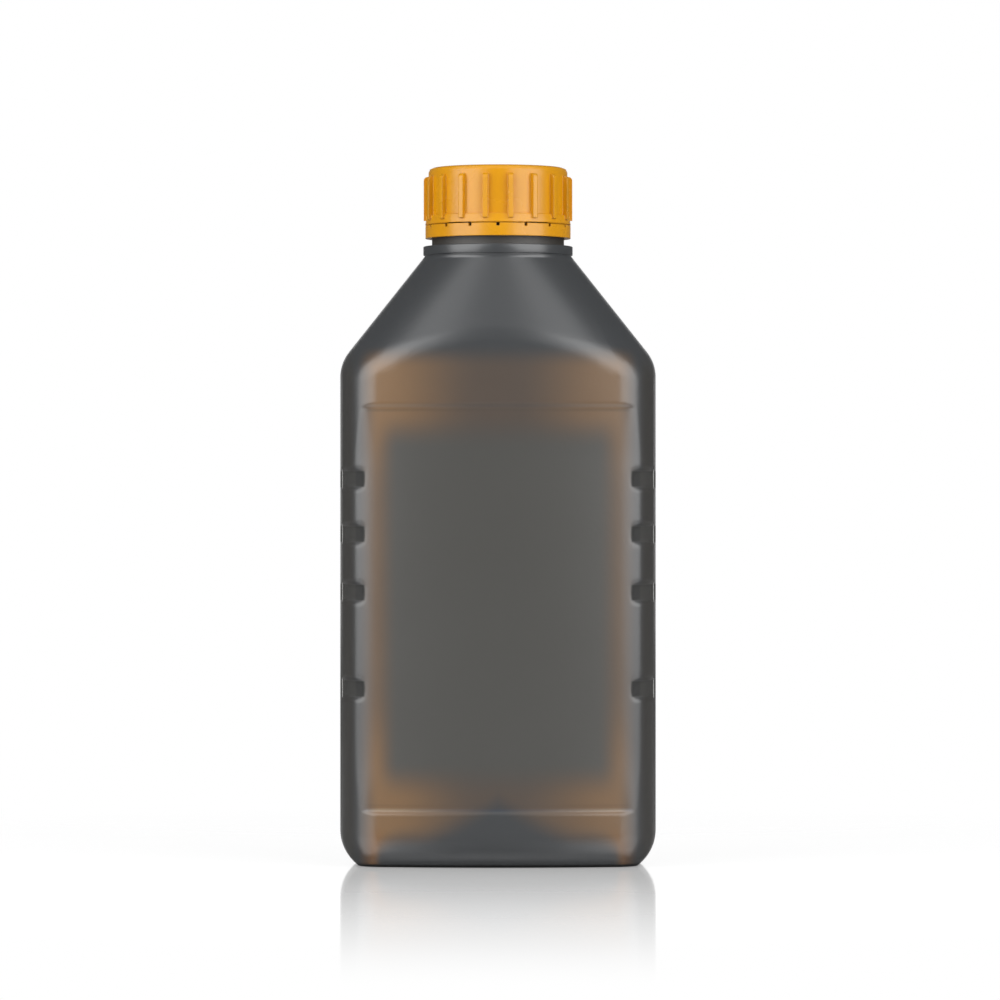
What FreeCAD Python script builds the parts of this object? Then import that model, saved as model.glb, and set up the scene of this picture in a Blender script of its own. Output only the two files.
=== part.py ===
import FreeCAD, Part
import Sketcher

import math
import os

Vector = FreeCAD.Vector

# Sizes in millimetres and degrees, one name for each size of the real bottle
SIZES = [
    ("body_width", 105.0),
    ("body_depth", 70.0),
    ("front_crown_radius", 220.0),
    ("side_crown_radius", 150.0),
    ("corner_radius", 14.5),
    ("wall", 1.2),
    ("heel_radius", 14.0),
    ("heel_height", 11.0),
    ("inside_heel_bevel", 9.5),
    ("base_recess_length", 76.0),
    ("base_recess_width", 42.0),
    ("base_recess_height", 9.0),
    ("shoulder_foot_height", 150.0),
    ("shoulder_foot_width", 130.6),
    ("shoulder_foot_depth", 90.0),
    ("shoulder_foot_front_radius", 160.0),
    ("shoulder_foot_side_radius", 140.0),
    ("shoulder_foot_corner_radius", 26.0),
    ("shoulder_top_height", 202.0),
    ("shoulder_top_width", 48.4),
    ("shoulder_top_crown_radius", 24.6),
    ("shoulder_top_corner_radius", 23.8),
    ("shoulder_wall", 1.5),
    ("ridge_radius", 13.5),
    ("panel_low", 18.6),
    ("panel_rise", 1.0),
    ("panel_recess", 0.8),
    ("panel_ledge", 1.0),
    ("grip_height_one", 58.6),
    ("grip_height_two", 90.2),
    ("grip_height_three", 109.4),
    ("grip_height_four", 127.5),
    ("grip_opening", 7.0),
    ("grip_floor", 5.0),
    ("grip_depth", 1.7),
    ("grip_front_reach", 44.3),
    ("grip_side_reach", 18.0),
    ("grip_side_shift", 0.9),
    ("collar_radius", 24.9),
    ("collar_height", 4.0),
    ("neck_radius", 22.0),
    ("bead_radius", 22.5),
    ("bead_low", 7.4),
    ("bead_height", 1.2),
    ("finish_radius", 20.8),
    ("bore_radius", 19.0),
    ("ring_radius", 24.2),
    ("ring_low", 5.7),
    ("ring_height", 4.2),
    ("ring_lip_height", 1.2),
    ("ring_clearance", 0.3),
    ("window_count", 16),
    ("window_width", 1.0),
    ("window_height", 1.0),
    ("slit_gap", 0.35),
    ("cap_height", 18.9),
    ("cap_radius", 23.15),
    ("cap_edge", 1.5),
    ("cap_edge_break", 0.45),
    ("cap_wall", 1.25),
    ("cap_top_thickness", 1.6),
    ("flange_height", 2.8),
    ("flange_low_radius", 24.25),
    ("flange_high_radius", 23.75),
    ("rib_count", 18),
    ("rib_radius", 24.75),
    ("rib_width", 1.7),
    ("rib_length", 13.2),
    ("rib_end_radius", 1.3),
    ("liner_thickness", 0.8),
    ("liner_clearance", 0.35),
    ("seal_gap", 0.1),
    ("label_side_margin", 14.0),
    ("label_low_margin", 7.4),
    ("label_high_margin", 5.0),
    ("label_corner_radius", 4.5),
    ("label_thickness", 0.25),
    ("label_gap", 0.15),
    ("oil_level", 163.0),
    ("oil_gap", 0.3),
    ("oil_ridge_gap", 2.5),
]

doc = FreeCAD.newDocument("oil_bottle")
sheet = doc.addObject("Spreadsheet::Sheet", "Sizes")
size = {}
for row, (alias, value) in enumerate(SIZES, start=1):
    sheet.set("A%d" % row, alias)
    sheet.set("B%d" % row, str(value))
    sheet.setAlias("B%d" % row, alias)
    size[alias] = value
doc.recompute()

ORIGIN = -1
START = 1
END = 2
CENTRE = 3
ON_AXIS = "on the axis"


def bind(thing, prop, expression):
    thing.setExpression(prop, expression)


def origin_plane(body, role):
    for plane in body.Origin.OriginFeatures:
        if plane.Role == role:
            return plane
    raise RuntimeError(role)


def constrain(sketch, name, value, expression, *parts):
    index = sketch.addConstraint(Sketcher.Constraint(*parts, value))
    sketch.renameConstraint(index, name)
    bind(sketch, "Constraints." + name, expression)


def named(kind, name, **links):
    made = doc.addObject(kind, name)
    for key, value in links.items():
        setattr(made, key, value)
    return made


# Plan section of the bottle: crowned front, back and sides joined by rounded corners


def less(insets):
    """Tail of an expression that draws a size in by the named sizes."""
    return "".join(" - Sizes." + alias for alias in insets)


def more(insets):
    """Tail of an expression that grows a size by the named sizes."""
    return "".join(" + Sizes." + alias for alias in insets)


def corner_centre(half_width, half_depth, front, side, corner):
    """Centre of the corner arc that touches the front crown and the side crown."""
    front_y = front - half_depth
    side_x = half_width - side
    gap = math.hypot(front_y, side_x)
    reach_front = front - corner
    reach_side = side - corner
    along = (reach_front ** 2 - reach_side ** 2 + gap ** 2) / (2 * gap)
    off = math.sqrt(reach_front ** 2 - along ** 2)
    ux = side_x / gap
    uy = -front_y / gap
    return (along * ux - off * uy, -(front_y + along * uy + off * ux))


def plan_section(name, width, depth, front, side, corner, insets, height):
    """Sketch of eight tangent arcs, drawn in by the sizes that insets names."""
    inset = sum(size[alias] for alias in insets)
    minus = less(insets)
    half_width = size[width] / 2 - inset
    half_depth = size[depth] / 2 - inset
    radii = [size[front] - inset, size[side] - inset, size[corner] - inset]
    cx, cy = corner_centre(half_width, half_depth, *radii)
    front_y = radii[0] - half_depth
    side_x = radii[1] - half_width
    face = math.atan2(cx, cy + front_y)
    flank = math.atan2(cy, cx + side_x)
    quarter = math.pi / 2
    stops = [-quarter - face, -quarter + face, -flank, flank, quarter - face, quarter + face,
             2 * quarter - flank, 2 * quarter + flank, 3 * quarter - face]
    centres = [(0, front_y), (cx, -cy), (-side_x, 0), (cx, cy),
               (0, -front_y), (-cx, cy), (side_x, 0), (-cx, -cy)]
    kinds = [0, 2, 1, 2, 0, 2, 1, 2]
    sketch = doc.addObject("Sketcher::SketchObject", name)
    for place in range(8):
        circle = Part.Circle(Vector(*centres[place], 0), Vector(0, 0, 1), radii[kinds[place]])
        sketch.addGeometry(Part.ArcOfCircle(circle, stops[place], stops[place + 1]))
    for place in range(8):
        after = (place + 1) % 8
        sketch.addConstraint(Sketcher.Constraint("Tangent", place, END, after, START))
    for place in (0, 4):
        sketch.addConstraint(Sketcher.Constraint("PointOnObject", place, CENTRE, -2))
    for place in (2, 6):
        sketch.addConstraint(Sketcher.Constraint("PointOnObject", place, CENTRE, -1))
    crowns = [(0, "front", front_y, front, depth, "DistanceY", ORIGIN, 0),
              (4, "back", front_y, front, depth, "DistanceY", 4, ORIGIN),
              (2, "right", side_x, side, width, "DistanceX", 2, ORIGIN),
              (6, "left", side_x, side, width, "DistanceX", ORIGIN, 6)]
    for place, word, reach, radius, span, kind, first, second in crowns:
        constrain(sketch, word + "_radius", radii[kinds[place]],
                  "Sizes.%s%s" % (radius, minus), "Radius", place)
        first_point = START if first == ORIGIN else CENTRE
        second_point = START if second == ORIGIN else CENTRE
        constrain(sketch, word + "_reach", reach,
                  "Sizes.%s - Sizes.%s / 2" % (radius, span),
                  kind, first, first_point, second, second_point)
    for place in (1, 3, 5, 7):
        constrain(sketch, "corner_%d" % place, radii[2],
                  "Sizes.%s%s" % (corner, minus), "Radius", place)
    for word, kind, first, second in (("corner_x", "DistanceX", (ORIGIN, START), (1, CENTRE)),
                                      ("corner_y", "DistanceY", (1, CENTRE), (ORIGIN, START))):
        index = sketch.addConstraint(Sketcher.Constraint(kind, *first, *second, cx if word == "corner_x" else cy))
        sketch.setDriving(index, False)
        sketch.renameConstraint(index, word)
    bind(sketch, "Placement.Base.z", height)
    return sketch


def revolved(name, corners):
    """Body turned about the upright axis, from radius and height expressions of each corner."""
    body = doc.addObject("PartDesign::Body", name)
    sketch = body.newObject("Sketcher::SketchObject", name + "_profile")
    sketch.AttachmentSupport = [(origin_plane(body, "XZ_Plane"), "")]
    sketch.MapMode = "FlatFace"
    count = len(corners)
    turn = 2 * math.pi / count
    middle = Vector(size["corner_radius"], size["body_width"], 0)
    spots = [middle + Vector(math.cos(turn * place), math.sin(turn * place), 0) for place in range(count)]
    for place in range(count):
        sketch.addGeometry(Part.LineSegment(spots[place], spots[(place + 1) % count]))
    for place in range(count):
        sketch.addConstraint(Sketcher.Constraint("Coincident", place, END, (place + 1) % count, START))
    for place, (across, up) in enumerate(corners):
        if across == ON_AXIS:
            sketch.addConstraint(Sketcher.Constraint("PointOnObject", place, START, -2))
        else:
            constrain(sketch, "across_%d" % place, spots[place].x, across,
                      "DistanceX", ORIGIN, START, place, START)
        constrain(sketch, "up_%d" % place, spots[place].y, up, "DistanceY", ORIGIN, START, place, START)
    turned = body.newObject("PartDesign::Revolution", name + "_turned")
    turned.Profile = sketch
    turned.ReferenceAxis = (sketch, ["V_Axis"])
    turned.Angle = 360
    doc.recompute()
    return body


def round_edges(body, name, radius, wanted):
    """Fillet on the body's tip, on the edges that the test accepts."""
    base = body.Tip
    names = []
    for place, edge in enumerate(base.Shape.Edges, start=1):
        if wanted(edge):
            names.append("Edge%d" % place)
    rounded = body.newObject("PartDesign::Fillet", name)
    rounded.Base = (base, names)
    bind(rounded, "Radius", radius)
    doc.recompute()
    return rounded


def bevel_edges(body, name, width, wanted):
    """Chamfer on the body's tip, on the edges that the test accepts."""
    base = body.Tip
    names = []
    for place, edge in enumerate(base.Shape.Edges, start=1):
        if wanted(edge):
            names.append("Edge%d" % place)
    bevelled = body.newObject("PartDesign::Chamfer", name)
    bevelled.Base = (base, names)
    bind(bevelled, "Size", width)
    doc.recompute()
    return bevelled


def level(edge):
    return edge.BoundBox.ZLength < 0.01


def placed_box(name, low, high):
    """Box between two corners, each given as three expressions."""
    box = doc.addObject("Part::Box", name)
    for prop, place in (("Length", 0), ("Width", 1), ("Height", 2)):
        bind(box, prop, "(%s) - (%s)" % (high[place], low[place]))
    for axis, place in (("x", 0), ("y", 1), ("z", 2)):
        bind(box, "Placement.Base." + axis, low[place])
    return box


def cut(name, base, tool):
    return named("Part::Cut", name, Base=base, Tool=tool, Refine=False)


# Bottle form: upright column under a sloped shoulder, with a soft ridge between them


def column_and_shoulder(prefix, insets, shoulder_insets, moulded):
    """Column and shoulder; the moulded wall's ridge is round, and inside it the heel is bevelled."""
    low = "Sizes.heel_height - Sizes.heel_radius" + more(insets)
    column = doc.addObject("Part::Extrusion", prefix + "_column")
    column.Base = plan_section(prefix + "_plan", "body_width", "body_depth", "front_crown_radius",
                               "side_crown_radius", "corner_radius", insets, low)
    column.DirMode = "Custom"
    column.Dir = Vector(0, 0, 1)
    column.Solid = True
    bind(column, "LengthFwd", "Sizes.shoulder_top_height - (%s)" % low)
    foot = plan_section(prefix + "_shoulder_foot", "shoulder_foot_width", "shoulder_foot_depth",
                        "shoulder_foot_front_radius", "shoulder_foot_side_radius",
                        "shoulder_foot_corner_radius", shoulder_insets, "Sizes.shoulder_foot_height")
    top = plan_section(prefix + "_shoulder_top", "shoulder_top_width", "shoulder_top_width",
                       "shoulder_top_crown_radius", "shoulder_top_crown_radius",
                       "shoulder_top_corner_radius", shoulder_insets, "Sizes.shoulder_top_height")
    slope = named("Part::Loft", prefix + "_slope", Sections=[foot, top], Solid=True, Ruled=True)
    skirt = doc.addObject("Part::Extrusion", prefix + "_skirt")
    skirt.Base = foot
    skirt.DirMode = "Custom"
    skirt.Dir = Vector(0, 0, -1)
    skirt.Solid = True
    bind(skirt, "LengthFwd", "Sizes.shoulder_foot_height + Sizes.heel_radius")
    hood = named("Part::MultiFuse", prefix + "_hood", Shapes=[slope, skirt], Refine=False)
    met = named("Part::MultiCommon", prefix + "_met", Shapes=[column, hood], Refine=False)
    doc.recompute()
    body = doc.addObject("PartDesign::Body", prefix + "_body")
    body.BaseFeature = met
    doc.recompute()
    ridge_low = size["shoulder_foot_height"] + size["wall"]
    ridge_high = size["shoulder_top_height"] - size["wall"]

    def on_ridge(edge):
        box = edge.BoundBox
        return ridge_low < box.ZMin and box.ZMax < ridge_high and box.XLength + box.YLength > size["wall"]

    def on_heel(edge):
        return level(edge) and edge.BoundBox.ZMin < size["wall"]

    if moulded:
        round_edges(body, prefix + "_ridge", "Sizes.ridge_radius" + less(insets), on_ridge)
    if insets:
        bevel_edges(body, prefix + "_heel", "Sizes.inside_heel_bevel", on_heel)
    else:
        round_edges(body, prefix + "_heel", "Sizes.heel_radius", on_heel)
    return body


# Label panels: one ring about the axis of each crown leaves the shallow recess

panel_high = "Sizes.shoulder_foot_height + Sizes.panel_rise"

def panel_ring(name, side, insets):
    """Ring whose inside face is the panel's floor and whose ends are the sloped ledges."""
    floor = "Sizes.front_crown_radius - Sizes.panel_recess" + less(insets)
    outside = "Sizes.front_crown_radius + Sizes.panel_recess" + less(insets)
    ledge = "2 * Sizes.panel_ledge"
    ring = revolved(name, [
        (floor, "Sizes.panel_low" + less(insets)),
        (outside, "Sizes.panel_low%s - %s" % (less(insets), ledge)),
        (outside, panel_high + "%s + %s" % (more(insets), ledge)),
        (floor, panel_high + more(insets))])
    bind(ring, "Placement.Base.y",
         "%d * (Sizes.front_crown_radius - Sizes.body_depth / 2)" % (1 if side < 0 else -1))
    return ring


# Grip notches: four on each upright corner, turned about the corner's own axis


def grip_comb(name, plan, insets, toothed):
    """Sleeve round one corner that cuts its four notches, or one relief as tall as all four."""
    skin = "Sizes.corner_radius" + less(insets)
    near = skin + " + Sizes.grip_depth / 2"
    far = skin + " + 2 * Sizes.grip_depth"
    floor = skin + " - Sizes.grip_depth"
    half_floor = "(Sizes.grip_floor / 2%s)" % more(insets)
    half_open = "(Sizes.grip_opening / 2 + (Sizes.grip_opening - Sizes.grip_floor) / 4%s)" % more(insets)
    end = "Sizes.grip_opening"
    corners = [(near, "Sizes.grip_height_one - " + end), (far, "Sizes.grip_height_one - " + end),
               (far, "Sizes.grip_height_four + " + end), (near, "Sizes.grip_height_four + " + end)]
    rows = [("four", "four"), ("three", "three"), ("two", "two"), ("one", "one")] if toothed else [("four", "one")]
    for high, low in rows:
        corners.append((near, "Sizes.grip_height_%s + %s" % (high, half_open)))
        corners.append((floor, "Sizes.grip_height_%s + %s" % (high, half_floor)))
        corners.append((floor, "Sizes.grip_height_%s - %s" % (low, half_floor)))
        corners.append((near, "Sizes.grip_height_%s - %s" % (low, half_open)))
    comb = revolved(name + "_comb", corners)
    bind(comb, "Placement.Base.x", plan + ".Constraints.corner_x + Sizes.grip_side_shift * 1 mm")
    bind(comb, "Placement.Base.y", "-%s.Constraints.corner_y" % plan)
    zone = placed_box(name + "_zone",
                      ["Sizes.grip_front_reach" + less(insets), "-Sizes.body_depth", "Sizes.panel_low"],
                      ["Sizes.body_width", "-(Sizes.grip_side_reach%s)" % less(insets),
                       "Sizes.shoulder_foot_height"])
    right = named("Part::MultiCommon", name + "_right", Shapes=[comb, zone], Refine=False)
    left = named("Part::Mirroring", name + "_left", Source=right, Normal=Vector(1, 0, 0))
    back_right = named("Part::Mirroring", name + "_back_right", Source=right, Normal=Vector(0, 1, 0))
    back_left = named("Part::Mirroring", name + "_back_left", Source=left, Normal=Vector(0, 1, 0))
    return [right, left, back_right, back_left]


# Foot: the underside is level and pushed up in the middle


def foot_cut(name, insets):
    below = placed_box(name + "_below",
                       ["-Sizes.body_width", "-Sizes.body_depth", "-2 * Sizes.heel_radius"],
                       ["Sizes.body_width", "Sizes.body_depth", "0" + more(insets)])
    arches = []
    for word, span, turn in (("long", "base_recess_length", Vector(1, 0, 0)),
                             ("wide", "base_recess_width", Vector(0, 1, 0))):
        height = "(Sizes.base_recess_height%s)" % more(insets)
        half = "(Sizes.%s / 2%s)" % (span, more(insets))
        radius = "((%s ^ 2 + %s ^ 2) / (2 * %s))" % (half, height, height)
        arch = doc.addObject("Part::Cylinder", "%s_%s_arch" % (name, word))
        arch.Placement = FreeCAD.Placement(Vector(), FreeCAD.Rotation(turn, -90 if word == "long" else 90))
        bind(arch, "Radius", radius)
        bind(arch, "Height", "2 * Sizes.body_width")
        bind(arch, "Placement.Base." + ("y" if word == "long" else "x"), "-Sizes.body_width")
        bind(arch, "Placement.Base.z", "%s - %s" % (height, radius))
        arches.append(arch)
    recess = named("Part::MultiCommon", name + "_recess", Shapes=arches, Refine=False)
    return [below, recess]


def bottle_form(prefix, insets, shoulder_insets, moulded):
    """Outside form of the bottle, or the same form drawn in for its hollow and its filling."""
    body = column_and_shoulder(prefix, insets, shoulder_insets, moulded)
    tools = [panel_ring(prefix + "_front_panel", -1, insets), panel_ring(prefix + "_back_panel", 1, insets)]
    tools += grip_comb(prefix + "_grips", prefix + "_plan", insets, moulded)
    tools += foot_cut(prefix + "_foot", insets)
    cutters = named("Part::MultiFuse", prefix + "_cutters", Shapes=tools, Refine=False)
    return cut(prefix + "_form", body, cutters)


top = "Sizes.shoulder_top_height"
cap_low = top + " + Sizes.ring_low + Sizes.ring_height + Sizes.slit_gap"
cap_high = cap_low + " + Sizes.cap_height"
ceiling = cap_high + " - Sizes.cap_top_thickness"
liner_low = ceiling + " - Sizes.liner_thickness"
rim = liner_low + " - Sizes.seal_gap"

# Bottle

outside = bottle_form("outer", [], [], True)
neck = revolved("neck", [
    ("Sizes.bore_radius / 2", top + " - Sizes.shoulder_wall"),
    ("Sizes.shoulder_top_width / 2 - Sizes.shoulder_wall", top + " - Sizes.shoulder_wall"),
    ("Sizes.shoulder_top_width / 2 - Sizes.shoulder_wall", top),
    ("Sizes.collar_radius", top),
    ("Sizes.collar_radius", top + " + Sizes.collar_height"),
    ("Sizes.neck_radius", top + " + Sizes.collar_height"),
    ("Sizes.neck_radius", top + " + Sizes.bead_low"),
    ("Sizes.bead_radius", top + " + Sizes.bead_low"),
    ("Sizes.bead_radius", top + " + Sizes.bead_low + Sizes.bead_height / 2"),
    ("Sizes.finish_radius", top + " + Sizes.bead_low + 3 * Sizes.bead_height / 2"),
    ("Sizes.finish_radius", rim),
    ("Sizes.bore_radius / 2", rim)])
solid_bottle = named("Part::MultiFuse", "solid_bottle", Shapes=[outside, neck], Refine=False)
hollow = bottle_form("inner", ["wall"], ["shoulder_wall"], True)
throat_radius = "Sizes.bore_radius + Sizes.wall"
throat = revolved("throat", [
    (ON_AXIS, top + " - Sizes.shoulder_wall"),
    (throat_radius, top + " - Sizes.shoulder_wall"),
    (throat_radius, top),
    ("Sizes.bore_radius", top + " + Sizes.collar_height / 2"),
    ("Sizes.bore_radius", rim + " + Sizes.cap_height"),
    (ON_AXIS, rim + " + Sizes.cap_height")])
void = named("Part::MultiFuse", "void", Shapes=[hollow, throat], Refine=False)
bottle = cut("bottle", solid_bottle, void)

# Filling

filling = bottle_form("fill", ["wall", "oil_gap"], ["shoulder_wall", "oil_ridge_gap"], False)
below_level = placed_box("below_level", ["-Sizes.body_width", "-Sizes.body_depth", "0"],
                         ["Sizes.body_width", "Sizes.body_depth", "Sizes.oil_level"])
oil = named("Part::MultiCommon", "oil", Shapes=[filling, below_level], Refine=False)

# Tamper ring: hangs on the neck under a bead, with windows along its upper edge

ring_top = top + " + Sizes.ring_low + Sizes.ring_height"
tamper_ring = revolved("tamper_ring", [
    ("Sizes.neck_radius + Sizes.ring_clearance", top + " + Sizes.ring_low"),
    ("Sizes.ring_radius", top + " + Sizes.ring_low"),
    ("Sizes.ring_radius", ring_top),
    ("Sizes.bead_radius + Sizes.ring_clearance", ring_top),
    ("Sizes.bead_radius + Sizes.ring_clearance", top + " + Sizes.ring_low + Sizes.ring_lip_height"),
    ("Sizes.neck_radius + Sizes.ring_clearance", top + " + Sizes.ring_low + Sizes.ring_lip_height")])
ring_low_height = size["shoulder_top_height"] + size["ring_low"]


def rectangle(body, name, role, low, high):
    """Sketch of a rectangle between two corners, each given as two expressions."""
    sketch = body.newObject("Sketcher::SketchObject", name)
    sketch.AttachmentSupport = [(origin_plane(body, role), "")]
    sketch.MapMode = "FlatFace"
    spots = [Vector(10, 10, 0), Vector(20, 10, 0), Vector(20, 20, 0), Vector(10, 20, 0)]
    for place in range(4):
        sketch.addGeometry(Part.LineSegment(spots[place], spots[(place + 1) % 4]))
    for place in range(4):
        sketch.addConstraint(Sketcher.Constraint("Coincident", place, END, (place + 1) % 4, START))
        kind = "Horizontal" if place % 2 == 0 else "Vertical"
        sketch.addConstraint(Sketcher.Constraint(kind, place))
    constrain(sketch, "low_x", 10, low[0], "DistanceX", ORIGIN, START, 0, START)
    constrain(sketch, "low_y", 10, low[1], "DistanceY", ORIGIN, START, 0, START)
    constrain(sketch, "high_x", 20, high[0], "DistanceX", ORIGIN, START, 2, START)
    constrain(sketch, "high_y", 20, high[1], "DistanceY", ORIGIN, START, 2, START)
    return sketch


def around(body, name, originals, count):
    """Copies of the features, evenly spaced about the upright axis."""
    pattern = body.newObject("PartDesign::PolarPattern", name)
    pattern.Originals = originals
    pattern.Axis = (origin_plane(body, "Z_Axis"), [""])
    pattern.Angle = 360
    bind(pattern, "Occurrences", count)
    body.Tip = pattern
    doc.recompute()
    return pattern


window_shape = rectangle(tamper_ring, "window_shape", "XZ_Plane",
                         ["-Sizes.window_width / 2", ring_top + " - Sizes.window_height"],
                         ["Sizes.window_width / 2", ring_top + " + Sizes.slit_gap"])
window = tamper_ring.newObject("PartDesign::Pocket", "window")
window.Profile = window_shape
bind(window, "Length", "Sizes.ring_radius + Sizes.slit_gap")
doc.recompute()
around(tamper_ring, "windows", [window], "Sizes.window_count")

# Cap: turned shell, with one grip rib repeated round it

cap = revolved("cap", [
    ("Sizes.cap_radius - Sizes.cap_wall", cap_low),
    ("Sizes.flange_low_radius", cap_low),
    ("Sizes.flange_high_radius", cap_low + " + Sizes.flange_height"),
    ("Sizes.cap_radius", cap_low + " + Sizes.flange_height"),
    ("Sizes.cap_radius", cap_high + " - Sizes.cap_edge"),
    ("Sizes.cap_radius - Sizes.cap_edge_break", cap_high + " - Sizes.cap_edge_break"),
    ("Sizes.cap_radius - Sizes.cap_edge", cap_high),
    (ON_AXIS, cap_high),
    (ON_AXIS, ceiling),
    ("Sizes.cap_radius - Sizes.cap_wall", ceiling)])
cap_high_height = ring_low_height + size["ring_height"] + size["slit_gap"] + size["cap_height"]
rib_foot = cap_low + " + Sizes.flange_height"
rib_shape = rectangle(cap, "rib_shape", "YZ_Plane",
                      ["Sizes.cap_radius - Sizes.cap_wall / 2", cap_low + " + Sizes.flange_height / 2"],
                      ["Sizes.rib_radius", rib_foot + " + Sizes.rib_length"])
rib_shape.AttachmentOffset = FreeCAD.Placement(Vector(), FreeCAD.Rotation(Vector(0, 1, 0), 10))
bind(rib_shape, "AttachmentOffset.Rotation.Angle", "180 deg / Sizes.rib_count")
rib = cap.newObject("PartDesign::Pad", "rib")
rib.Profile = rib_shape
rib.SideType = "Symmetric"
bind(rib, "Length", "Sizes.rib_width")
doc.recompute()


def rib_reach(vertex):
    return math.hypot(vertex.X, vertex.Y)


def rib_end(edge):
    """Level edge along the outside of the rib's upper end."""
    ends = [rib_reach(vertex) for vertex in edge.Vertexes]
    return level(edge) and min(ends) > size["rib_radius"] - 0.01 and edge.BoundBox.ZMin > rib_top - 0.01


rib_top = cap_high_height - size["cap_height"] + size["flange_height"] + size["rib_length"]
rib_end_round = round_edges(cap, "rib_end_round", "Sizes.rib_end_radius", rib_end)
around(cap, "ribs", [rib, rib_end_round], "Sizes.rib_count")

# Sealing wad under the cap's top

cap_liner = doc.addObject("Part::Cylinder", "cap_liner")
bind(cap_liner, "Radius", "Sizes.cap_radius - Sizes.cap_wall - Sizes.liner_clearance")
bind(cap_liner, "Height", "Sizes.liner_thickness")
bind(cap_liner, "Placement.Base.z", liner_low)

# Back label: a film that follows the crown of the back panel

label_in = "Sizes.front_crown_radius - Sizes.panel_recess + Sizes.label_gap"
label_low = "Sizes.panel_low + Sizes.label_low_margin"
label_high = panel_high + " - Sizes.label_high_margin"
label_half = "Sizes.body_width / 2 - Sizes.label_side_margin"
label_film = revolved("label_film", [
    (label_in, label_low + " - Sizes.label_corner_radius"),
    (label_in + " + Sizes.label_thickness", label_low + " - Sizes.label_corner_radius"),
    (label_in + " + Sizes.label_thickness", label_high + " + Sizes.label_corner_radius"),
    (label_in, label_high + " + Sizes.label_corner_radius")])
bind(label_film, "Placement.Base.y", "Sizes.body_depth / 2 - Sizes.front_crown_radius")
label_plate = doc.addObject("PartDesign::Body", "label_plate")
label_shape = rectangle(label_plate, "label_shape", "XZ_Plane",
                        ["-(%s)" % label_half, label_low],
                        [label_half, label_high])
label_pad = label_plate.newObject("PartDesign::Pad", "label_pad")
label_pad.Profile = label_shape
label_pad.Reversed = True
bind(label_pad, "Length", "Sizes.body_depth")
doc.recompute()


def across_plate(edge):
    box = edge.BoundBox
    return box.YLength > box.XLength + box.ZLength


round_edges(label_plate, "label_corners", "Sizes.label_corner_radius", across_plate)
back_label = named("Part::MultiCommon", "back_label", Shapes=[label_film, label_plate], Refine=False)

PIECES = [("bottle", bottle), ("oil", oil), ("tamper_ring", tamper_ring), ("cap", cap),
          ("cap_liner", cap_liner), ("back_label", back_label)]
for label, piece in PIECES:
    piece.Label = label
doc.recompute()
for thing in doc.Objects:
    if "Invalid" in thing.State or "Error" in thing.State:
        raise RuntimeError("%s did not build: %s" % (thing.Name, thing.State))
for label, piece in PIECES:
    if piece.Shape.isNull() or not piece.Shape.isValid() or len(piece.Shape.Solids) != 1:
        raise RuntimeError("%s is not one valid solid" % label)
os.makedirs("parts", exist_ok=True)
for label, piece in PIECES:
    piece.Shape.exportStep("parts/%s.step" % label)
    print(label, round(piece.Shape.Volume / 1000, 2), "cm3")
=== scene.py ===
import math

import bpy
import numpy as np
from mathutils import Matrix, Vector


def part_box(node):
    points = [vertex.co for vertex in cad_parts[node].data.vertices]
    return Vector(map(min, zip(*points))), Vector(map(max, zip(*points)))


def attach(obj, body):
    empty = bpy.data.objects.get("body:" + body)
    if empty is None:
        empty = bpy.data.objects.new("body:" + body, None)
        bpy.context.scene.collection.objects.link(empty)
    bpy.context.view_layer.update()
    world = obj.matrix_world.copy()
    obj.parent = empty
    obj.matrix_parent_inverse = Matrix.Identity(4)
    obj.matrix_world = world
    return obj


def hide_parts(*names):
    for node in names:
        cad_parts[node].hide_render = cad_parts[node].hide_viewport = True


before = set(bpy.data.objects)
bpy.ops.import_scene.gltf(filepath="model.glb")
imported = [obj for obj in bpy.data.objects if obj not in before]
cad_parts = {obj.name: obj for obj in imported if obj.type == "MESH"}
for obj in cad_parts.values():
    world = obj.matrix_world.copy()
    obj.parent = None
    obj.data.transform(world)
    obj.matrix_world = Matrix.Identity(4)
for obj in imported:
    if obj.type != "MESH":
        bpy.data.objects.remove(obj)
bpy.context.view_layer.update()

bl_info = {
    "name": "Motor Oil Bottle",
    "version": (1, 0, 0),
    "blender": (4, 5, 0),
    "location": "View3D > Sidebar > Oil Bottle",
    "description": "Finishes a one litre oil bottle with its screw cap, threads and materials, "
                   "and sets it on a studio floor",
    "category": "Object",
}

MM = 0.001
BOTTLE_LOW, BOTTLE_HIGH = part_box("bottle")
CAP_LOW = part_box("cap")[0]
RING_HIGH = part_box("tamper_ring")[1]
LABEL_LOW, LABEL_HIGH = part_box("back_label")
OIL_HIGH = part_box("oil")[1]

# The bottle in millimetres. A plan is half width, half depth, front, side and corner radius.
COLUMN = (52.5, 35.0, 220.0, 150.0, 14.5)
SHOULDER_FOOT = (65.3, 45.0, 160.0, 140.0, 26.0)
SHOULDER_TOP = (24.2, 24.2, 24.6, 24.6, 23.8)
SHOULDER_LOW, SHOULDER_HIGH = 150.0, 202.0
RIDGE_RADIUS, HEEL_RADIUS, HEEL_DROP = 13.5, 14.0, 3.0
PANEL_LOW, PANEL_HIGH, PANEL_DEEP = 18.6, 151.0, 0.8
GRIP_HEIGHTS = (58.6, 90.2, 109.4, 127.5)
GRIP_HALF, GRIP_DEEP, GRIP_SLOPE = 2.5, 1.7, 0.588
GRIP_FRONT, GRIP_SIDE, GRIP_SHIFT = 44.3, 18.0, 0.9
COLLAR_RADIUS, COLLAR_HIGH = 24.9, 205.0
BEAD_RADIUS, BEAD_LOW, BEAD_HIGH = 22.5, 209.4, 210.0
NECK_RADIUS, FINISH_RADIUS, FINISH_LOW, RIM = 22.0, 20.8, 211.2, 228.65
BORE_RADIUS, BORE_LOW = 19.0, 204.0
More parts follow.
